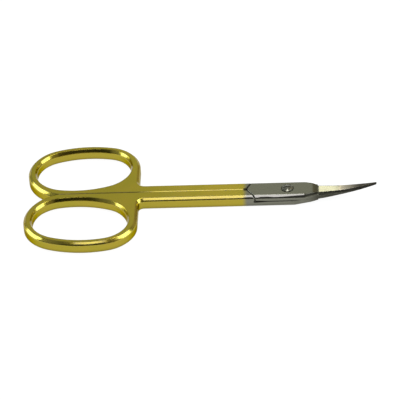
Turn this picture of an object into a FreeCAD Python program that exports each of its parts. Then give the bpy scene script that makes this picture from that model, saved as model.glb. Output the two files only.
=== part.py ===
import FreeCAD, Part
import math
import os
import Sketcher
from FreeCAD import Placement, Rotation, Vector

# Cuticle scissors, closed. X runs along the scissors to the tips, Y across to the front arm's bow, Z up.
# The pivot axis is the Z axis and the underside lies at Z = 0. All sizes are in millimetres.

SIZES = (
    ("thickness", 3.3, "shanks, bows and the closed joint, underside to top"),
    ("arm_gap", 0.1, "slit between the flat inner sides of the closed arms"),
    ("lap_clearance", 0.06, "between the two lap faces, and between the blades' inside faces"),
    ("shank_width", 3.1, "one shank"),
    ("bow_reach", 66.95, "pivot to the rear end of the bows"),
    ("bow_length", 28.95, "bow along the scissors"),
    ("bow_width", 20.85, "middle of the slit to the outer side of a bow"),
    ("bow_flat", 1.0, "depth of the flat that is ground on the bow where the two bows meet"),
    ("bow_front_mid", 0.775, "front end of a bow, outwards from the middle of its width"),
    ("bow_rear_mid", 10.0, "middle of the slit to the place where the bow's rear end stands upright"),
    ("crest_back", 15.6, "rear end of a bow to the crest of its outer side"),
    ("split_back", 12.8, "rear end of a bow to the crest of its inner side"),
    ("bow_side_radius", 27.0, "outer side of the bow"),
    ("bow_split_radius", 22.0, "inner side of the bow, before the flat is ground"),
    ("bar_flat", 1.03, "flat on top of the bow bar, between its two bevels, at its rear end"),
    ("side_bar", 2.0, "bow bar at its outer side"),
    ("front_bar", 2.5, "bow bar at its front end"),
    ("split_bar", 1.8, "bow bar beside the slit"),
    ("hole_side_radius", 24.0, "outer side of the finger hole"),
    ("hole_split_radius", 23.0, "inner side of the finger hole"),
    ("web_radius", 1.5, "inside corner between shank and bow"),
    ("edge_facet", 0.7, "flat bevel on the outer edges of bows, shanks and joint, on top"),
    ("edge_rounding", 0.8, "rounding of that bevel's lower edge"),
    ("rim_bevel", 0.5, "flat bevel on the edges of the finger holes on top, across the bow bar"),
    ("rim_depth", 0.95, "that bevel, down the wall of the hole"),
    ("rim_rounding", 1.0, "rounding of that bevel's lower edge"),
    ("slit_bevel", 0.12, "edges along the slit, on top"),
    ("seam_bevel", 0.1, "edges of the lap faces at the joint's outer sides"),
    ("edge_chamfer", 0.45, "outer edges of bows, shanks and joint, underneath"),
    ("hole_chamfer", 0.55, "edges of the finger holes, underneath"),
    ("joint_back", 10.7, "pivot to the point of the joint's chevron"),
    ("joint_shoulder", 8.4, "pivot to the chevron's ends on the outer sides"),
    ("shoulder_gap", 0.3, "open line between a lap plate and the other arm's shoulder"),
    ("joint_front", 1.8, "pivot to the corner where a lap plate begins to narrow on its own arm's side"),
    ("joint_nose", 4.4, "pivot to the corner where it begins to narrow on the other side"),
    ("plate_reach", 7.8, "pivot to the end of the lap plates"),
    ("mark_width", 0.35, "line that carries the chevron on over the front arm"),
    ("mark_depth", 0.2, "depth of that line"),
    ("mark_reach", 9.2, "pivot to that line's end at the front arm's outer side"),
    ("tip_reach", 22.7, "pivot to the tips"),
    ("curve_start", 3.0, "pivot to the start of the blades' upward curve"),
    ("curve_radius", 76.0, "upward curve of the blades"),
    ("back_half", 2.0, "middle to the blade's back at the end of the lap plate"),
    ("edge_half", 1.6, "middle to the blade's cutting edge at the end of the lap plate"),
    ("edge_bevel", 0.2, "lean of the cutting edge's bevel"),
    ("back_thickness", 1.2, "blade along its back at the end of the lap plate"),
    ("back_side", 0.3, "upright part of the blade's back there"),
    ("back_bevel", 0.45, "lean of the blade's back above its upright part"),
    ("edge_thickness", 1.05, "blade along its bevel at the end of the lap plate"),
    ("tip_half", 0.08, "half the width of a blade at the tip"),
    ("tip_thickness", 0.3, "blade at the tip"),
    ("scallop_radius", 4.4, "hollow where the blade's ground face runs out into the joint"),
    ("scallop_reach", 8.0, "pivot to the bottom of that hollow"),
    ("bore_diameter", 2.1, "bore of the front arm, on which it turns"),
    ("pivot_clearance", 0.03, "screw's shank in that bore, on the radius"),
    ("thread_diameter", 1.7, "bore of the rear arm, which holds the screw's thread"),
    ("thread_clearance", 0.01, "screw's thread in that bore, on the radius"),
    ("head_diameter", 2.8, "screw's head"),
    ("seat_clearance", 0.2, "screw's head in its recess in the front arm, on the radius"),
    ("seat_depth", 0.4, "depth of that recess"),
    ("head_rise", 0.08, "rim of the screw's head above the joint"),
    ("dome_rise", 0.45, "crown of the screw's head above its rim"),
    ("head_clearance", 0.03, "screw's head above the floor of its recess"),
    ("slot_width", 0.35, "slot of the screw"),
    ("slot_depth", 0.35, "slot of the screw, below its crown"),
    ("slot_angle", 4.0, "turn of the slot from the scissors' axis, in degrees"),
    ("screw_inset", 0.05, "screw's end above the underside of the rear arm"),
)

# Blade sections: share of the way from the lap plate's end to the tip, then shares of the root's width and
# thickness that are left there. The first section lies inside the lap plate.
STATIONS = (
    (-0.1, 1.05, 1.0),
    (0.0, 1.0, 1.0),
    (0.2, 0.85, 0.75),
    (0.45, 0.63, 0.47),
    (0.72, 0.37, 0.25),
    (1.0, 0.0, 0.0),
)

# Metal on a blade's inside face before the face is ground, and the overrun of a cut beyond the metal.
BLANK = 0.24
SPARE = 1.0
NEAR = 1e-4


class Size:
    """A length with the expression that binds it to the sheet."""

    def __init__(self, value, text):
        self.value = value
        self.text = text

    def __add__(self, other):
        other = size(other)
        return Size(self.value + other.value, f"({self.text} + {other.text})")

    def __sub__(self, other):
        other = size(other)
        return Size(self.value - other.value, f"({self.text} - {other.text})")

    def __mul__(self, other):
        other = size(other)
        return Size(self.value * other.value, f"({self.text} * {other.text})")

    def __truediv__(self, other):
        other = size(other)
        return Size(self.value / other.value, f"({self.text} / {other.text})")

    def __neg__(self):
        return self * -1.0


def size(number):
    """A plain number as a size."""
    return number if isinstance(number, Size) else Size(number, repr(number))


doc = FreeCAD.newDocument("cuticle_scissors")
sheet = doc.addObject("Spreadsheet::Sheet", "dims")
d = {}
for row, (alias, number, note) in enumerate(SIZES, 1):
    sheet.set(f"A{row}", alias)
    sheet.set(f"B{row}", str(number))
    sheet.set(f"C{row}", note)
    sheet.setAlias(f"B{row}", alias)
    d[alias] = Size(number, f"dims.{alias}")
doc.recompute()

NONE = size(0.0)
middle = d["thickness"] / 2.0
half_gap = d["arm_gap"] / 2.0
half_lap = d["lap_clearance"] / 2.0
outer_side = half_gap + d["shank_width"]
web_front = d["bow_reach"] - d["bow_length"]
bow_crest = d["bow_reach"] - d["crest_back"]
split_crest = d["bow_reach"] - d["split_back"]
front_mid = d["bow_width"] / 2.0 + d["bow_front_mid"]
rear_bar = d["edge_facet"] + d["bar_flat"] + d["rim_bevel"]


def plane_sketch(body, name, role, offset=NONE):
    """Sketch on one of the body's own origin planes, moved along the plane's normal."""
    sketch = body.newObject("Sketcher::SketchObject", name)
    plane = [feature for feature in body.Origin.OriginFeatures if feature.Role == role][0]
    sketch.AttachmentSupport = [(plane, "")]
    sketch.MapMode = "FlatFace"
    sketch.AttachmentOffset = Placement(Vector(0, 0, offset.value), Rotation())
    if offset is not NONE:
        sketch.setExpression("AttachmentOffset.Base.z", offset.text)
    return sketch


def bind(sketch, constraint, size):
    """Add a constraint whose value follows the sheet."""
    sketch.setExpression(f"Constraints[{sketch.addConstraint(constraint)}]", size.text)


def pin(sketch, geometry, point, x, y):
    """Hold one point of a sketch at bound coordinates."""
    bind(sketch, Sketcher.Constraint("DistanceX", -1, 1, geometry, point, x.value), x)
    bind(sketch, Sketcher.Constraint("DistanceY", -1, 1, geometry, point, y.value), y)


def polygon(sketch, corners):
    """Closed outline of straight lines through bound corners."""
    spots = [Vector(x.value, y.value, 0) for x, y in corners]
    lines = []
    for index, spot in enumerate(spots):
        following = spots[(index + 1) % len(spots)]
        lines.append(sketch.addGeometry(Part.LineSegment(spot, following)))
    for index, line in enumerate(lines):
        sketch.addConstraint(Sketcher.Constraint("Coincident", line, 2, lines[(index + 1) % len(lines)], 1))
        pin(sketch, line, 1, *corners[index])
    return lines


def circle(sketch, diameter):
    """Circle on the pivot."""
    ring = sketch.addGeometry(Part.Circle(Vector(0, 0, 0), Vector(0, 0, 1), diameter.value / 2.0))
    sketch.addConstraint(Sketcher.Constraint("Coincident", ring, 3, -1, 1))
    bind(sketch, Sketcher.Constraint("Diameter", ring, diameter.value), diameter)


def oval(sketch, rear, front, upper, lower):
    """Closed outline of six arcs. The upper and the lower side are arcs with their own crest and radius.
    They run out smoothly into the ends, which stand upright at the points given for rear and front."""
    chain = []
    for (edge, crest, radius), way, order in ((upper, 1.0, (front, rear)), (lower, -1.0, (rear, front))):
        heart = Vector(crest.value, edge.value - radius.value * way, 0)
        leans = []
        ends = []
        for tip, mid in order:
            length = tip.value - crest.value
            depth = abs(edge.value - mid.value)
            bend = length ** 2 + depth ** 2 - 2.0 * radius.value * depth
            bend = bend / (2.0 * (abs(length) - radius.value))
            place = Vector(tip.value - math.copysign(bend, length), mid.value, 0)
            leans.append(math.atan2(place.y - heart.y, place.x - heart.x) % (2.0 * math.pi))
            ends.append(Part.Circle(place, Vector(0, 0, 1), bend))
        start = 0.0 if way > 0 else math.pi
        side = Part.Circle(heart, Vector(0, 0, 1), radius.value)
        finish = start + math.pi
        spans = ((ends[0], start, leans[0]), (side, leans[0], leans[1]), (ends[1], leans[1], finish))
        arcs = [sketch.addGeometry(Part.ArcOfCircle(ring, first, last)) for ring, first, last in spans]
        pin(sketch, arcs[1], 3, crest, edge - radius * way)
        bind(sketch, Sketcher.Constraint("Radius", arcs[1], radius.value), radius)
        sketch.addConstraint(Sketcher.Constraint("Tangent", arcs[0], 2, arcs[1], 1))
        sketch.addConstraint(Sketcher.Constraint("Tangent", arcs[1], 2, arcs[2], 1))
        for arc, (tip, mid) in zip((arcs[0], arcs[2]), order):
            bind(sketch, Sketcher.Constraint("DistanceY", -1, 1, arc, 3, mid.value), mid)
        chain.append(arcs)
    pin(sketch, chain[0][0], 1, *front)
    pin(sketch, chain[0][2], 2, *rear)
    sketch.addConstraint(Sketcher.Constraint("Coincident", chain[0][2], 2, chain[1][0], 1))
    sketch.addConstraint(Sketcher.Constraint("Coincident", chain[1][2], 2, chain[0][0], 1))


def bow_oval(sketch, rear, front, far, near, far_radius, near_radius, hand):
    """Oval of a bow or of its finger hole, on the side of its arm."""
    outer = (far * hand, -bow_crest, far_radius)
    inner = (near * hand, -split_crest, near_radius)
    upper, lower = (outer, inner) if hand > 0 else (inner, outer)
    oval(sketch, (rear, d["bow_rear_mid"] * hand), (front, front_mid * hand), upper, lower)


def pad(body, sketch, name, length):
    feature = body.newObject("PartDesign::Pad", name)
    feature.Profile = sketch
    feature.setExpression("Length", length.text)
    doc.recompute()
    return feature


def pocket(body, sketch, name, length, both_ways=False, reverse=False):
    feature = body.newObject("PartDesign::Pocket", name)
    feature.Profile = sketch
    feature.Midplane = both_ways
    feature.Reversed = reverse
    feature.setExpression("Length", length.text)
    before = feature.BaseFeature.Shape.Volume
    doc.recompute()
    if feature.Shape.Volume > before - NEAR:
        raise RuntimeError(f"{name} of {body.Label} removes nothing")
    return feature


def edge_names(shape, test):
    return [f"Edge{index}" for index, edge in enumerate(shape.Edges, 1) if test(edge)]


def dress(body, kind, name, base, edges, prop, size, down=None):
    """Fillet or chamfer on named edges of the feature before it. A chamfer can go further down than across."""
    feature = body.newObject(f"PartDesign::{kind}", name)
    feature.Base = (base, edges)
    feature.setExpression(prop, size.text)
    if down is not None:
        feature.ChamferType = "Two distances"
        feature.setExpression("Size2", down.text)
        doc.recompute()
        foot = base.Shape.BoundBox.ZMax - down.value
        feature.FlipDirection = not any(abs(face.BoundBox.ZMin - foot) < NEAR for face in feature.Shape.Faces)
    doc.recompute()
    return feature


def level(edge, height):
    return all(abs(point.z - height) < NEAR for point in edge.discretize(5))


def handle(body, hand):
    """Bow with its finger hole, and the shank up to the joint's shoulder."""
    outline = plane_sketch(body, "bow_outline", "XY_Plane")
    bow_oval(outline, -d["bow_reach"], -web_front, d["bow_width"], -d["bow_flat"],
             d["bow_side_radius"], d["bow_split_radius"], hand)
    pad(body, outline, "bow", d["thickness"])

    flat = plane_sketch(body, "flat_outline", "XY_Plane")
    rear_x = -(d["bow_reach"] + SPARE)
    beyond = (d["bow_flat"] + SPARE) * -hand
    polygon(flat, (
        (rear_x, half_gap * hand),
        (-web_front, half_gap * hand),
        (-web_front, beyond),
        (rear_x, beyond),
    ))
    pocket(body, flat, "bow_flat", d["thickness"], reverse=True)

    shank = plane_sketch(body, "shank_outline", "XY_Plane")
    polygon(shank, (
        (-d["joint_back"], half_gap * hand),
        (-d["joint_shoulder"], outer_side * hand),
        (-web_front, outer_side * hand),
        (-web_front, front_mid * hand),
        (-bow_crest, front_mid * hand),
        (-bow_crest, half_gap * hand),
    ))
    pad(body, shank, "shank", d["thickness"])

    hole = plane_sketch(body, "hole_outline", "XY_Plane")
    rear = rear_bar - d["bow_reach"]
    front = -(web_front + d["front_bar"])
    far = d["bow_width"] - d["side_bar"]
    near = half_gap + d["split_bar"]
    bow_oval(hole, rear, front, far, near, d["hole_side_radius"], d["hole_split_radius"], hand)
    pocket(body, hole, "finger_hole", d["thickness"], reverse=True)
    return hole


def lap_plate(body, hand):
    """Half of the lap joint: the upper half for the front arm, the lower half for the rear arm."""
    lap_face = middle + half_lap * hand
    outline = plane_sketch(body, "plate_outline", "XY_Plane", lap_face)
    near = outer_side * -hand
    far = outer_side * hand
    polygon(outline, (
        (d["shoulder_gap"] - d["joint_back"], half_gap * hand),
        (d["shoulder_gap"] - d["joint_shoulder"], near),
        (d["joint_nose"], near),
        (d["plate_reach"], d["back_half"] * -hand),
        (d["plate_reach"], d["edge_half"] * hand),
        (d["joint_front"], far),
        (-(d["joint_shoulder"] + SPARE), far),
        (-(d["joint_back"] + SPARE), half_gap * hand),
    ))
    feature = pad(body, outline, "lap_plate", middle - half_lap)
    feature.Reversed = hand < 0
    doc.recompute()
    return feature


def halfway(edge):
    return edge.valueAt((edge.FirstParameter + edge.LastParameter) / 2.0)


def round_edges(body, base, hole, hand):
    """Inside corner at the bow, then the bevels of the outer edges, the finger hole, the slit and the lap's
    seam. The lower edges of the bevels on top are rounded."""
    top = d["thickness"].value
    side = outer_side.value
    root = Vector(-web_front.value, side * hand, top / 2.0)
    corner = edge_names(base.Shape, lambda edge: edge.CenterOfMass.isEqual(root, NEAR))
    base = dress(body, "Fillet", "bow_corner", base, corner, "Radius", d["web_radius"])
    rim_spots = [halfway(edge) for edge in hole.Shape.Edges]

    def on_rim(edge):
        spot = halfway(edge)
        spot.z = 0.0
        return any(spot.isEqual(place, NEAR) for place in rim_spots)

    def on_slit(edge):
        spot = halfway(edge)
        return abs(spot.y - half_gap.value * hand) < NEAR and spot.x < -d["joint_back"].value

    def on_outside(edge):
        spot = halfway(edge)
        beside_slit = abs(spot.y - half_gap.value * hand) < NEAR
        bow = spot.x < d["web_radius"].value - web_front.value
        taper = d["joint_front"].value < spot.x < d["plate_reach"].value - NEAR
        joint = taper and (spot.z < NEAR or spot.y * hand < 0)
        return not (on_rim(edge) or beside_slit) and (bow or joint or abs(abs(spot.y) - side) < NEAR)

    def feet(shape, low):
        """Lower edges of the bevels that run from the top face down to the height given."""
        bevels = [face for face in shape.Faces if abs(face.BoundBox.ZMin - low) < NEAR]
        bevels = [face for face in bevels if abs(face.BoundBox.ZMax - top) < NEAR]
        found = [edge for face in bevels for edge in face.Edges if level(edge, low)]
        return edge_names(shape, lambda edge: any(edge.isSame(foot) for foot in found))

    edges = edge_names(base.Shape, lambda edge: level(edge, top) and on_outside(edge))
    base = dress(body, "Chamfer", "top_facet", base, edges, "Size", d["edge_facet"])
    edges = feet(base.Shape, top - d["edge_facet"].value)
    base = dress(body, "Fillet", "facet_foot", base, edges, "Radius", d["edge_rounding"])
    edges = edge_names(base.Shape, lambda edge: level(edge, top) and on_rim(edge))
    base = dress(body, "Chamfer", "top_rim", base, edges, "Size", d["rim_bevel"], d["rim_depth"])
    edges = feet(base.Shape, top - d["rim_depth"].value)
    base = dress(body, "Fillet", "rim_foot", base, edges, "Radius", d["rim_rounding"])
    edges = edge_names(base.Shape, lambda edge: level(edge, 0.0) and on_outside(edge))
    base = dress(body, "Chamfer", "under_edges", base, edges, "Size", d["edge_chamfer"])
    edges = edge_names(base.Shape, lambda edge: level(edge, 0.0) and on_rim(edge))
    base = dress(body, "Chamfer", "under_rim", base, edges, "Size", d["hole_chamfer"])
    edges = edge_names(base.Shape, lambda edge: level(edge, top) and on_slit(edge))
    base = dress(body, "Chamfer", "slit_edge", base, edges, "Size", d["slit_bevel"])
    lap = middle.value + half_lap.value * hand
    edges = edge_names(base.Shape, lambda edge: level(edge, lap) and abs(abs(halfway(edge).y) - side) < NEAR)
    return dress(body, "Chamfer", "seam_edges", base, edges, "Size", d["seam_bevel"])


def face_height(along):
    """Middle between the two blades' inside faces, which curve upwards."""
    bend = along - d["curve_start"]
    return middle + bend * bend / (d["curve_radius"] * 2.0)


def blade(body, hand):
    """Tapered blade, cut along its curved inside face, with the hollow run-out of its ground face."""
    run = d["tip_reach"] - d["plate_reach"]
    sections = []
    for share, width_left, left in STATIONS:
        along = d["plate_reach"] + run * share
        face = face_height(along)
        back = d["tip_half"] + (d["back_half"] - d["tip_half"]) * width_left
        edge = d["tip_half"] + (d["edge_half"] - d["tip_half"]) * width_left
        back_rise = d["tip_thickness"] + (d["back_thickness"] - d["tip_thickness"]) * left
        edge_rise = d["tip_thickness"] + (d["edge_thickness"] - d["tip_thickness"]) * left
        lean = d["edge_bevel"] * width_left
        slope = (d["back_bevel"] - d["tip_half"] / 2.0) * width_left + d["tip_half"] / 2.0
        upright = back_rise * d["back_side"] / d["back_thickness"]
        blank_face = face - BLANK * hand
        section = plane_sketch(body, f"blade_section_{len(sections)}", "YZ_Plane", along)
        polygon(section, (
            (back * -hand, blank_face),
            (back * -hand, face + upright * hand),
            ((back - slope) * -hand, face + back_rise * hand),
            ((edge - lean) * hand, face + edge_rise * hand),
            (edge * hand, blank_face),
        ))
        sections.append(section)
    doc.recompute()
    loft = body.newObject("PartDesign::AdditiveLoft", "blade")
    loft.Profile = sections[0]
    loft.Sections = sections[1:]
    doc.recompute()

    inside = plane_sketch(body, "inside_outline", "XZ_Plane")
    end = d["tip_reach"] + SPARE
    radius = d["curve_radius"] - half_lap * hand
    centre = Vector(d["curve_start"].value, (middle + d["curve_radius"]).value, 0)
    swing = math.asin((end - d["curve_start"]).value / radius.value)
    down = -math.pi / 2.0
    ring = Part.Circle(centre, Vector(0, 0, 1), radius.value)
    arc = inside.addGeometry(Part.ArcOfCircle(ring, down, down + swing))
    beyond = middle - (d["thickness"] + SPARE) * hand
    spots = (
        Vector(end.value, centre.y - radius.value * math.cos(swing), 0),
        Vector(end.value, beyond.value, 0),
        Vector(d["curve_start"].value, beyond.value, 0),
        Vector(d["curve_start"].value, centre.y - radius.value, 0),
    )
    lines = [inside.addGeometry(Part.LineSegment(spots[index], spots[index + 1])) for index in range(3)]
    pin(inside, arc, 3, d["curve_start"], middle + d["curve_radius"])
    bind(inside, Sketcher.Constraint("Radius", arc, radius.value), radius)
    inside.addConstraint(Sketcher.Constraint("Coincident", arc, 2, lines[0], 1))
    inside.addConstraint(Sketcher.Constraint("Coincident", lines[0], 2, lines[1], 1))
    inside.addConstraint(Sketcher.Constraint("Coincident", lines[1], 2, lines[2], 1))
    inside.addConstraint(Sketcher.Constraint("Coincident", lines[2], 2, arc, 1))
    inside.addConstraint(Sketcher.Constraint("Vertical", lines[0]))
    pin(inside, lines[1], 1, end, beyond)
    pin(inside, lines[1], 2, d["curve_start"], beyond)
    inside.addConstraint(Sketcher.Constraint("Vertical", lines[2]))
    pocket(body, inside, "inside_face", d["bow_width"], both_ways=True)

    hollow = plane_sketch(body, "scallop_outline", "XZ_Plane")
    radius = d["scallop_radius"]
    rise = face_height(d["scallop_reach"]) + (d["back_thickness"] + radius) * hand
    centre = Vector(d["scallop_reach"].value, rise.value, 0)
    ring = hollow.addGeometry(Part.Circle(centre, Vector(0, 0, 1), radius.value))
    pin(hollow, ring, 3, d["scallop_reach"], rise)
    bind(hollow, Sketcher.Constraint("Radius", ring, radius.value), radius)
    pocket(body, hollow, "scallop", d["bow_width"], both_ways=True)


def holes(body, hand):
    """Bore on the pivot, and on the front arm the screw's recess and the line of the chevron."""
    bore = plane_sketch(body, "bore_outline", "XY_Plane")
    circle(bore, d["bore_diameter"] if hand > 0 else d["thread_diameter"])
    pocket(body, bore, "bore", d["thickness"], reverse=True)
    if hand < 0:
        return
    seat = plane_sketch(body, "seat_outline", "XY_Plane", d["thickness"])
    circle(seat, d["head_diameter"] + d["seat_clearance"] * 2.0)
    pocket(body, seat, "screw_seat", d["seat_depth"])
    mark = plane_sketch(body, "mark_outline", "XY_Plane", d["thickness"])
    polygon(mark, (
        (-d["joint_back"], half_gap),
        (-d["mark_reach"], outer_side),
        (d["mark_width"] - d["mark_reach"], outer_side),
        (d["mark_width"] - d["joint_back"], half_gap),
    ))
    pocket(body, mark, "chevron_line", d["mark_depth"])


def arm(label, hand):
    body = doc.addObject("PartDesign::Body", label)
    body.Label = label
    hole = handle(body, hand)
    base = lap_plate(body, hand)
    round_edges(body, base, hole, hand)
    blade(body, hand)
    holes(body, hand)
    return body


def screw():
    """Round-head screw: thread in the rear arm, plain shank in the front arm, slotted head."""
    body = doc.addObject("PartDesign::Body", "joint_screw")
    body.Label = "joint_screw"
    profile = plane_sketch(body, "screw_profile", "XZ_Plane")
    thread = d["thread_diameter"] / 2.0 - d["thread_clearance"]
    shank = d["bore_diameter"] / 2.0 - d["pivot_clearance"]
    head = d["head_diameter"] / 2.0
    shoulder = middle - half_lap
    floor = d["thickness"] - d["seat_depth"] + d["head_clearance"]
    rim = d["thickness"] + d["head_rise"]
    crown = rim + d["dome_rise"]
    corners = (
        (NONE, d["screw_inset"]),
        (thread, d["screw_inset"]),
        (thread, shoulder),
        (shank, shoulder),
        (shank, floor),
        (head, floor),
        (head, rim),
        (NONE, crown),
    )
    spots = [Vector(x.value, z.value, 0) for x, z in corners]
    lines = [profile.addGeometry(Part.LineSegment(spots[index], spots[index + 1])) for index in range(6)]
    sphere = (head * head + d["dome_rise"] * d["dome_rise"]) / (d["dome_rise"] * 2.0)
    centre = Vector(0, crown.value - sphere.value, 0)
    start = math.atan2(rim.value - centre.y, head.value)
    ring = Part.Circle(centre, Vector(0, 0, 1), sphere.value)
    dome = profile.addGeometry(Part.ArcOfCircle(ring, start, math.pi / 2.0))
    axis = profile.addGeometry(Part.LineSegment(spots[7], spots[0]))
    for index in range(5):
        profile.addConstraint(Sketcher.Constraint("Coincident", lines[index], 2, lines[index + 1], 1))
    profile.addConstraint(Sketcher.Constraint("Coincident", lines[5], 2, dome, 1))
    profile.addConstraint(Sketcher.Constraint("Coincident", dome, 2, axis, 1))
    profile.addConstraint(Sketcher.Constraint("Coincident", axis, 2, lines[0], 1))
    for index, line in enumerate(lines):
        pin(profile, line, 1, *corners[index])
    pin(profile, lines[5], 2, *corners[6])
    pin(profile, dome, 2, *corners[7])
    profile.addConstraint(Sketcher.Constraint("PointOnObject", dome, 3, -2))
    turned = body.newObject("PartDesign::Revolution", "turned_screw")
    turned.Profile = profile
    turned.ReferenceAxis = (profile, ["V_Axis"])
    turned.Angle = 360.0
    doc.recompute()

    slot = plane_sketch(body, "slot_outline", "XY_Plane", crown)
    turn = d["slot_angle"]
    slot.AttachmentOffset = Placement(Vector(0, 0, crown.value), Rotation(Vector(0, 0, 1), turn.value))
    slot.setExpression("AttachmentOffset.Rotation.Angle", turn.text)
    reach = head + SPARE
    half = d["slot_width"] / 2.0
    polygon(slot, ((-reach, -half), (reach, -half), (reach, half), (-reach, half)))
    pocket(body, slot, "slot", d["slot_depth"])
    return body


def write(bodies):
    os.makedirs("parts", exist_ok=True)
    doc.recompute()
    for item in doc.Objects:
        if any(word in state for state in item.State for word in ("Invalid", "Error")):
            raise RuntimeError(f"{item.Label} did not build: {item.State}")
    for body in bodies:
        if body.Shape.isNull() or not body.Shape.isValid() or len(body.Shape.Solids) != 1:
            raise RuntimeError(f"{body.Label} is not one valid solid")
        body.Shape.exportStep(f"parts/{body.Label}.step")
        print(body.Label, round(body.Shape.Volume, 3))


write((arm("front_arm", 1.0), arm("rear_arm", -1.0), screw()))
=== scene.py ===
import math
import bpy
from mathutils import Matrix, Vector


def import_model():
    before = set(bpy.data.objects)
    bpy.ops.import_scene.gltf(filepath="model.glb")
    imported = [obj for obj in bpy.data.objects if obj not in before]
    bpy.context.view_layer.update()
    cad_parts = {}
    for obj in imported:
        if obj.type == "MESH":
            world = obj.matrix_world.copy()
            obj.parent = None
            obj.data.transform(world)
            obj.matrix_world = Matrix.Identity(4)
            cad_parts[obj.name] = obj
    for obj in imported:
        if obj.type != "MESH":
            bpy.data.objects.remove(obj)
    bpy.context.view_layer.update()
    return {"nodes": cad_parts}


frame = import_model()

# Places on the scissors. All lengths are in metres, X runs from the pivot to the tips and Z is the height.
TOP_FACE = 0.0033
CHEVRON_POINT = Vector((-0.0107, 0.0, TOP_FACE))
SCREW_TOP = Vector((0.0, 0.0, 0.0038))

# Stretches along X in which one finish or shade gives way to the next.
PLATING_END = (-0.0117, -0.0101)
SLIT_DEEPENS = (-0.060, -0.046)
SLIT_CLEARS = (-0.039, -0.033)
BOW_TO_SHANK = (-0.042, -0.036)
SHANK_SHINE = (-0.034, -0.030)
CHEVRON_REAR = (-0.0114, -0.0112)
CHEVRON_FRONT = (-0.0079, -0.0077)
SEAM_REAR = (-0.0088, -0.0084)
SEAM_NARROWS = (-0.0078, -0.0048)
SEAM_PALES = (-0.006, 0.0)
MARK_REAR_END = (-0.0092, -0.0086)
MARK_CLIMBS = (-0.0025, 0.0044)
MARK_GAP = -0.0078
MARK_SWELLING = -0.0058
NOSE_DARKENS = (0.0042, 0.0076)
NOSE_WORN = (0.0044, 0.0048)
HOLLOW_START = (0.0058, 0.0074)
HOLLOW_END = (0.0076, 0.0079)
BLADE_START = (0.0079, 0.0081)
BLADE_WARMS = (0.0126, 0.0136)
TIP_DARKENS = (0.0148, 0.0185)

# Heights at which they do so.
SIDE_FOOT = (0.0002, 0.0014)
OVER_LAP = (0.0018, 0.002)
MARK_FOOT = (0.0027, 0.00276)
MARK_TOP = 0.0028
SLIT_FLOOR = (TOP_FACE - 0.0008, TOP_FACE - 0.0004)
GROOVE_FLOOR = (TOP_FACE - 0.0004, TOP_FACE - 0.0003)
GROOVE_RIM = (TOP_FACE - 0.00012, TOP_FACE - 0.00006)

# Tilts of a face, as the upward share of its normal: 1 is level and 0 is upright.
UPRIGHT_TO_SLOPED = (0.1, 0.4)
OUT_OF_UPRIGHT = (0.5, 0.6)
BEVEL_LOW = (0.55, 0.65)
BEVEL_HIGH = (0.76, 0.84)
SLOPED_TO_LEVEL = (0.8, 0.9)
NEARLY_LEVEL = (0.8, 0.95)
LEVEL = (0.9, 0.96)

# The middle of the noise textures' range.
NOISE = (0.3, 0.7)

GOLD = (0.41, 0.342, 0.037)
GOLD_WARM = (0.44, 0.343, 0.042)
GOLD_EDGE = (0.45, 0.38, 0.1)
STEEL = (0.21, 0.209, 0.165)
STEEL_DARK = tuple(0.86 * value for value in STEEL)
STEEL_EDGE = (0.6, 0.6, 0.55)
SCREW_DARK = tuple(0.7 * value for value in STEEL)
# Lighter steel of the bevels and the blade's face, partly polish and partly painted sheen; also the light
# end of the screw's stains.
BLADE_STEEL = (0.30, 0.295, 0.24)
# Painted cream reflection further along the blade's face.
BLADE_PAINTED_REFLECTION = (0.48, 0.43, 0.345)
# Painted brown shade in the run-out between the joint and the blade.
RUN_OUT_PAINTED_SHADE = (0.06, 0.05, 0.02)
# Dark colour for painted shade (slit, seam, chevron, under the joint's bright edge, upright faces), painted
# dark reflection towards the tips, the darker chevron point and the real streaks on bare steel.
SHADE_AND_STREAK_DARK = (0.018, 0.017, 0.013)
ROOM_COOL = (0.96, 1.0, 0.95)
ROOM_WARM = (0.9, 0.8, 0.56)
BOX_COOL = (0.94, 1.04, 1.1)

IMAGE_SIDE = 400
FOCAL_PIXELS = 2946.0
SENSOR = 36.0
CAMERA_PLACE = Vector((0.01584, -0.60080, 0.45376))
CAMERA_AIM = Vector((-0.02234, -0.00172, 0.00157))
CAMERA_ROLL = math.radians(3.67)


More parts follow.
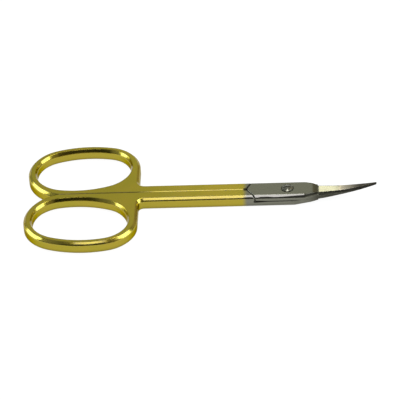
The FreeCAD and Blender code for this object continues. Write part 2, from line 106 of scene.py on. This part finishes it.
class Nodes:
    """Short forms for building a node tree."""

    def __init__(self, tree):
        self.tree = tree
        tree.nodes.clear()

    def add(self, kind, **settings):
        node = self.tree.nodes.new(kind)
        for name, value in settings.items():
            setattr(node, name, value)
        return node

    def link(self, source, target):
        self.tree.links.new(source, target)

    def feed(self, socket, value):
        if isinstance(value, bpy.types.NodeSocket):
            self.link(value, socket)
        else:
            socket.default_value = value

    def math(self, operation, first, second=0.0):
        node = self.add("ShaderNodeMath", operation=operation)
        self.feed(node.inputs[0], first)
        self.feed(node.inputs[1], second)
        return node.outputs[0]

    def product(self, first, *others):
        for other in others:
            first = self.math("MULTIPLY", first, other)
        return first

    def highest(self, first, *others):
        for other in others:
            first = self.math("MAXIMUM", first, other)
        return first

    def without(self, value):
        return self.math("SUBTRACT", 1.0, value)

    def distance(self, value, place):
        return self.math("ABSOLUTE", self.math("SUBTRACT", value, place))

    def fade(self, value, span, start, end, smooth=False):
        """From start to end while the value crosses the span."""
        node = self.add("ShaderNodeMapRange")
        if smooth:
            node.interpolation_type = "SMOOTHSTEP"
        for index, item in enumerate((value, *span, start, end)):
            self.feed(node.inputs[index], item)
        return node.outputs[0]

    def rise(self, value, span):
        return self.fade(value, span, 0.0, 1.0)

    def fall(self, value, span):
        return self.fade(value, span, 1.0, 0.0)

    def mix(self, factor, first, second):
        """Colour between the first and the second."""
        node = self.add("ShaderNodeMix", data_type="RGBA")
        self.feed(node.inputs[0], factor)
        for socket, value in ((node.inputs[6], first), (node.inputs[7], second)):
            if isinstance(value, tuple):
                value = (*value, 1.0)
            self.feed(socket, value)
        return node.outputs[2]

    def blend(self, factor, first, second):
        """Number between the first and the second."""
        node = self.add("ShaderNodeMix", data_type="FLOAT")
        for index, value in ((0, factor), (2, first), (3, second)):
            self.feed(node.inputs[index], value)
        return node.outputs[0]

    def split(self, vector):
        node = self.add("ShaderNodeSeparateXYZ")
        self.link(vector, node.inputs[0])
        return node.outputs

    def noise(self, place, scale, detail, stretch=(1.0, 1.0, 1.0)):
        mapping = self.add("ShaderNodeMapping")
        self.link(place, mapping.inputs[0])
        mapping.inputs[3].default_value = stretch
        node = self.add("ShaderNodeTexNoise")
        self.link(mapping.outputs[0], node.inputs["Vector"])
        node.inputs["Scale"].default_value = scale
        node.inputs["Detail"].default_value = detail
        return node.outputs[0]

    def bump(self, height, strength, distance):
        node = self.add("ShaderNodeBump")
        self.link(height, node.inputs["Height"])
        node.inputs["Strength"].default_value = strength
        node.inputs["Distance"].default_value = distance
        return node


class ArmSurface:
    """What the finishes of an arm go by: place, tilt, textures, and masks from 0 to 1."""

    def __init__(self, nodes, place):
        self.place = place
        self.x, self.y, self.z = nodes.split(place)
        self.tilt = nodes.split(nodes.add("ShaderNodeNewGeometry").outputs["Normal"])[2]
        self.off_slit = nodes.distance(self.y, 0.0)
        self.cloud = nodes.noise(place, 140.0, 3.0)
        self.grain = nodes.noise(place, 1500.0, 3.0, (0.12, 1.0, 1.0))
        wander = nodes.fade(nodes.noise(place, 900.0, 2.0), NOISE, -0.00006, 0.00006)
        self.bare = nodes.fade(nodes.math("ADD", self.x, wander), PLATING_END, 0.0, 1.0, smooth=True)
        self.upward = nodes.rise(self.tilt, SLOPED_TO_LEVEL)
        blade = nodes.fade(self.x, BLADE_START, 0.0, 1.0, smooth=True)
        self.blade_face = nodes.product(blade, self.upward)


def metal(name):
    """Empty metal material: its node builder, its shader and the object's own coordinates."""
    material = bpy.data.materials.new(name)
    material.use_nodes = True
    nodes = Nodes(material.node_tree)
    output = nodes.add("ShaderNodeOutputMaterial")
    shader = nodes.add("ShaderNodeBsdfPrincipled")
    shader.inputs["Metallic"].default_value = 1.0
    nodes.link(shader.outputs[0], output.inputs[0])
    place = nodes.add("ShaderNodeTexCoord").outputs["Object"]
    return material, nodes, shader, place


def steel_colour(nodes, arm):
    """Satin steel; bevels and the blade's face lighter, partly their polish and partly a painted sheen,
    turning to a painted cream reflection along the blade; painted brown shade in the run-out and painted
    dark reflection towards the tips.
    """
    satin = nodes.mix(nodes.rise(arm.grain, NOISE), STEEL_DARK, STEEL)
    # Lighter steel, partly polish and partly painted sheen, turning into a painted cream reflection along
    # the blade.
    polished = nodes.mix(nodes.fade(arm.x, BLADE_WARMS, 0.0, 1.0, smooth=True), BLADE_STEEL, BLADE_PAINTED_REFLECTION)
    # Painted highlight: the bevels take a share of the lighter steel.
    bevel_highlight = nodes.product(nodes.fade(arm.tilt, BEVEL_LOW, 0.0, 0.4), nodes.fall(arm.tilt, BEVEL_HIGH))
    steel = nodes.mix(nodes.highest(arm.blade_face, bevel_highlight), satin, polished)
    # Painted brown shade in the run-out.
    hollow_shade = nodes.product(
        nodes.fade(arm.x, HOLLOW_START, 0.0, 0.6, smooth=True),
        nodes.fall(arm.x, HOLLOW_END),
        nodes.rise(arm.tilt, OUT_OF_UPRIGHT),
        nodes.rise(arm.z, OVER_LAP),
    )
    # Painted dark reflection towards the tips.
    tip_shade = nodes.fade(arm.x, TIP_DARKENS, 0.0, 0.8, smooth=True)
    return nodes.mix(tip_shade, nodes.mix(hollow_shade, steel, RUN_OUT_PAINTED_SHADE), SHADE_AND_STREAK_DARK)


def chevron_shade_and_dark_point(nodes, arm):
    """Painted shade in the groove along the chevron, and a darker ragged patch at its point."""
    groove = nodes.product(
        nodes.rise(arm.tilt, LEVEL),
        nodes.fall(arm.z, GROOVE_RIM),
        nodes.rise(arm.z, GROOVE_FLOOR),
        nodes.rise(arm.x, CHEVRON_REAR),
        nodes.fall(arm.x, CHEVRON_FRONT),
    )
    reach = nodes.add("ShaderNodeVectorMath", operation="DISTANCE")
    nodes.link(arm.place, reach.inputs[0])
    reach.inputs[1].default_value = CHEVRON_POINT
    ragged = nodes.math("ADD", reach.outputs["Value"], nodes.fade(arm.cloud, NOISE, -0.0001, 0.0001))
    corner = nodes.fade(ragged, (0.0003, 0.0008), 0.85, 0.0, smooth=True)
    return nodes.highest(groove, corner)


def seam_shade(nodes, arm):
    """Painted shade in a line where the lap halves meet on the outer sides, widest at its rear end."""
    half_width = nodes.fade(arm.x, SEAM_NARROWS, 0.0003, 0.0001)
    outside = nodes.math("SUBTRACT", nodes.distance(arm.z, TOP_FACE / 2.0), half_width)
    return nodes.product(
        nodes.fall(outside, (0.0, 0.00006)),
        nodes.rise(arm.x, SEAM_REAR),
        nodes.fade(arm.x, SEAM_PALES, 0.95, 0.5),
        nodes.fall(nodes.distance(arm.tilt, 0.0), NEARLY_LEVEL),
    )


def slit_shade(nodes, arm):
    """Painted shade along the edges of the slit between the bows."""
    return nodes.product(
        nodes.fall(arm.off_slit, (0.00018, 0.00022)),
        nodes.fade(arm.x, SLIT_DEEPENS, 0.5, 0.75),
        nodes.fall(arm.x, SLIT_CLEARS),
        nodes.rise(arm.z, SLIT_FLOOR),
    )


def bevel_foot_shade(nodes, arm):
    """Painted shade: an uneven dark line along the foot of the joint's near bevelled edge, with a gap at
    the shoulder.
    """
    height = nodes.highest(
        nodes.fade(nodes.distance(arm.x, MARK_SWELLING), (0.0008, 0.0026), 0.00012, 0.0),
        nodes.fade(arm.x, MARK_REAR_END, 0.00012, 0.0),
        nodes.fade(arm.x, MARK_CLIMBS, 0.0, 0.00028),
    )
    above = nodes.math("SUBTRACT", nodes.math("SUBTRACT", arm.z, MARK_TOP), height)
    return nodes.product(
        nodes.fade(above, (-0.00003, 0.00003), 0.9, 0.0),
        nodes.rise(arm.z, MARK_FOOT),
        nodes.fall(arm.y, (-0.0012, -0.0008)),
        nodes.rise(nodes.distance(arm.x, MARK_GAP), (0.0002, 0.0008)),
        nodes.without(arm.upward),
        arm.bare,
    )


def side_shade_and_streaks(nodes, arm):
    """Painted shade on upright faces, a little everywhere and more low down and along the joint's nose, and
    real dark streaks on the bare steel.
    """
    streak = nodes.fade(nodes.noise(arm.place, 800.0, 2.0, (0.06, 1.0, 1.0)), (0.48, 0.62), 0.0, 0.3)
    shade = nodes.highest(
        nodes.fade(arm.z, SIDE_FOOT, 0.4, 0.1, smooth=True),
        nodes.fade(arm.x, NOSE_DARKENS, 0.0, 0.72),
        nodes.product(arm.bare, streak),
    )
    return nodes.product(nodes.fall(arm.tilt, UPRIGHT_TO_SLOPED), shade)


def arm_coat(nodes, arm, painted_shade):
    """Clear shine of the plating, strongest on sloped faces and along the shanks."""
    shine = nodes.blend(arm.upward, nodes.fade(arm.tilt, UPRIGHT_TO_SLOPED, 0.0, 0.6), 0.2)
    shine = nodes.product(shine, nodes.fade(arm.x, SHANK_SHINE, 1.0, 1.5))
    return nodes.product(nodes.without(painted_shade), nodes.blend(arm.bare, shine, 0.0))


def arm_roughness(nodes, arm, painted_shade):
    """Polished gold, brushed joint with smoother sides, worn nose, polished blade face, dull where shade is
    painted.
    """
    gold = nodes.fade(arm.cloud, NOISE, 0.18, 0.25)
    steel = nodes.blend(arm.upward, 0.14, nodes.fade(arm.grain, NOISE, 0.24, 0.36))
    worn = nodes.product(nodes.rise(arm.x, NOSE_WORN), nodes.without(arm.upward))
    steel = nodes.blend(worn, steel, 0.34)
    steel = nodes.blend(arm.blade_face, steel, 0.15)
    return nodes.blend(painted_shade, nodes.blend(arm.bare, gold, steel), 0.5)


def arm_normal(nodes, arm):
    """Softly rounded edges, crisp along the slit, with ripples in the gold and grain in the steel."""
    soft_edge = nodes.add("ShaderNodeBevel", samples=8)
    radius = nodes.fade(arm.x, BOW_TO_SHANK, 0.00035, 0.0002)
    radius = nodes.product(radius, nodes.rise(arm.off_slit, (0.0002, 0.0005)))
    nodes.link(radius, soft_edge.inputs["Radius"])
    ripple = nodes.noise(arm.place, 420.0, 2.0, (0.6, 1.0, 1.0))
    bump = nodes.bump(nodes.blend(arm.bare, ripple, arm.grain), 0.06, 0.00002)
    nodes.link(soft_edge.outputs[0], bump.inputs["Normal"])
    return bump.outputs[0]


def arm_material():
    """Gold plating on the bow and shank, satin steel on the joint and polished steel on the blade."""
    material, nodes, shader, place = metal("plated_steel")
    arm = ArmSurface(nodes, place)
    # Painted shade in the chevron, the seam, the slit and along the joint's near edge, and the darker
    # chevron point.
    painted_shade = nodes.highest(
        chevron_shade_and_dark_point(nodes, arm),
        seam_shade(nodes, arm),
        slit_shade(nodes, arm),
        bevel_foot_shade(nodes, arm),
    )
    gold = nodes.mix(nodes.rise(arm.cloud, (0.35, 0.65)), GOLD, GOLD_WARM)
    finish = nodes.mix(arm.bare, gold, steel_colour(nodes, arm))
    # The painted shade darkens the finish.
    with_painted_shade = nodes.mix(painted_shade, finish, SHADE_AND_STREAK_DARK)
    # Painted shade on upright faces, with the real streaks on the bare steel.
    shaded = nodes.mix(side_shade_and_streaks(nodes, arm), with_painted_shade, SHADE_AND_STREAK_DARK)
    nodes.link(shaded, shader.inputs["Base Color"])
    nodes.link(nodes.mix(arm.bare, GOLD_EDGE, STEEL_EDGE), shader.inputs["Specular Tint"])
    nodes.link(arm_coat(nodes, arm, painted_shade), shader.inputs["Coat Weight"])
    shader.inputs["Coat Roughness"].default_value = 0.08
    nodes.link(arm_roughness(nodes, arm, painted_shade), shader.inputs["Roughness"])
    nodes.link(arm_normal(nodes, arm), shader.inputs["Normal"])
    return material


def screw_material():
    """Turned steel, with fine rings about the screw's axis."""
    material, nodes, shader, place = metal("screw_steel")
    x, y, _ = nodes.split(place)
    square = nodes.math("ADD", nodes.math("POWER", x, 2.0), nodes.math("POWER", y, 2.0))
    rings = nodes.math("SINE", nodes.product(nodes.math("SQRT", square), 60000.0))
    stain = nodes.noise(place, 2500.0, 2.0)
    nodes.link(nodes.mix(stain, SCREW_DARK, BLADE_STEEL), shader.inputs["Base Color"])
    nodes.link(nodes.fade(stain, NOISE, 0.2, 0.34), shader.inputs["Roughness"])
    nodes.link(nodes.bump(rings, 0.1, 0.00001).outputs[0], shader.inputs["Normal"])
    return material


def dress(node, material):
    piece = frame["nodes"][node]
    piece.data.materials.clear()
    piece.data.materials.append(material)


def floor():
    """Plain white table, bright enough to stay white under the scissors."""
    half = 3.0
    corners = [(-half, -half, 0.0), (half, -half, 0.0), (half, half, 0.0), (-half, half, 0.0)]
    mesh = bpy.data.meshes.new("floor")
    mesh.from_pydata(corners, [], [(0, 1, 2, 3)])
    table = bpy.data.objects.new("floor", mesh)
    table.location.z = -0.00002
    bpy.context.collection.objects.link(table)
    material = bpy.data.materials.new("floor_white")
    material.use_nodes = True
    shader = material.node_tree.nodes["Principled BSDF"]
    shader.inputs["Base Color"].default_value = (0.12, 0.12, 0.12, 1.0)
    shader.inputs["Roughness"].default_value = 0.9
    shader.inputs["Emission Color"].default_value = (1.0, 1.0, 1.0, 1.0)
    shader.inputs["Emission Strength"].default_value = 0.93
    mesh.materials.append(material)


def aim(item, target, roll=0.0):
    """Turn a camera or light so that it looks at the target."""
    turn = (target - item.location).to_track_quat("-Z", "Y").to_matrix()
    item.rotation_euler = (turn @ Matrix.Rotation(roll, 3, "Z")).to_euler()


def area_light(name, azimuth, elevation, distance, size, radiance, colour=(1.0, 1.0, 1.0),
               target=CAMERA_AIM):
    """Rectangular light aimed at the target. Azimuth 0 is the camera's side, 90 is towards the tips."""
    width, height = size
    light = bpy.data.lights.new(name, "AREA")
    light.shape = "RECTANGLE"
    light.size = width
    light.size_y = height
    light.energy = radiance * width * height * math.pi
    light.color = colour
    item = bpy.data.objects.new(name, light)
    bpy.context.collection.objects.link(item)
    turn = math.radians(azimuth)
    rise = math.radians(elevation)
    direction = Vector((math.sin(turn) * math.cos(rise), -math.cos(turn) * math.cos(rise), math.sin(rise)))
    item.location = target + direction * distance
    aim(item, target)


def world():
    """Grey room: pale on the far side, dimmer beside and above the camera, warm towards the tips."""
    room = bpy.data.worlds.new("room")
    room.use_nodes = True
    nodes = Nodes(room.node_tree)
    output = nodes.add("ShaderNodeOutputWorld")
    background = nodes.add("ShaderNodeBackground")
    nodes.link(background.outputs[0], output.inputs[0])
    x, y, z = nodes.split(nodes.add("ShaderNodeTexCoord").outputs["Generated"])

    warmth = nodes.fade(x, (0.05, 0.4), 0.0, 1.0, smooth=True)
    nodes.link(nodes.mix(warmth, ROOM_COOL, ROOM_WARM), background.inputs[0])

    far_wall = nodes.product(
        nodes.fade(y, (0.15, 0.65), 0.02, 0.64, smooth=True),
        nodes.fade(z, (0.05, 0.4), 0.8, 1.0, smooth=True),
        nodes.fade(x, (-0.32, -0.17), 0.75, 1.0, smooth=True),
    )
    aside = nodes.math("ADD", nodes.distance(x, 0.0), nodes.product(z, 0.3))
    side_walls = nodes.fade(aside, (0.45, 0.75), 0.0, 0.3, smooth=True)
    band = nodes.product(
        nodes.fade(z, (0.42, 0.5), 0.0, 0.2, smooth=True),
        nodes.fade(z, (0.6, 0.7), 1.0, 0.0, smooth=True),
    )
    near = nodes.fade(y, (0.0, 0.3), 1.0, 0.0, smooth=True)
    near_half = nodes.product(near, nodes.highest(side_walls, band))
    ceiling = nodes.fade(z, (0.86, 0.96), 0.0, 0.45, smooth=True)
    nodes.link(nodes.highest(ceiling, nodes.math("ADD", far_wall, near_half)), background.inputs[1])
    bpy.context.scene.world = room


def lights():
    """Boxes at both ends, a strip above the camera, a card behind for the blade and one over the screw."""
    area_light("left_box", -92.0, 20.0, 0.6, size=(0.46, 0.43), radiance=4.0, colour=BOX_COOL)
    area_light("right_box", 83.0, 26.0, 0.6, size=(0.4, 0.56), radiance=4.0, colour=BOX_COOL)
    area_light("top_strip", -3.0, 53.0, 0.8, size=(0.33, 0.2), radiance=2.6, colour=(1.0, 0.98, 1.15))
    area_light("far_card", 180.8, 30.0, 0.9, size=(0.066, 0.075), radiance=5.0, colour=(1.0, 0.97, 0.74))
    area_light("screw_card", 0.0, 86.0, 0.12, size=(0.034, 0.034), radiance=8.0, target=SCREW_TOP)


def camera():
    lens = bpy.data.cameras.new("camera")
    lens.sensor_width = SENSOR
    lens.lens = FOCAL_PIXELS / IMAGE_SIDE * SENSOR
    lens.clip_start = 0.01
    item = bpy.data.objects.new("camera", lens)
    bpy.context.collection.objects.link(item)
    item.location = CAMERA_PLACE
    aim(item, CAMERA_AIM, -CAMERA_ROLL)
    bpy.context.scene.camera = item


plated = arm_material()
dress("front_arm", plated)
dress("rear_arm", plated)
dress("joint_screw", screw_material())
floor()
world()
lights()
camera()
bpy.context.scene.view_settings.view_transform = "Standard"
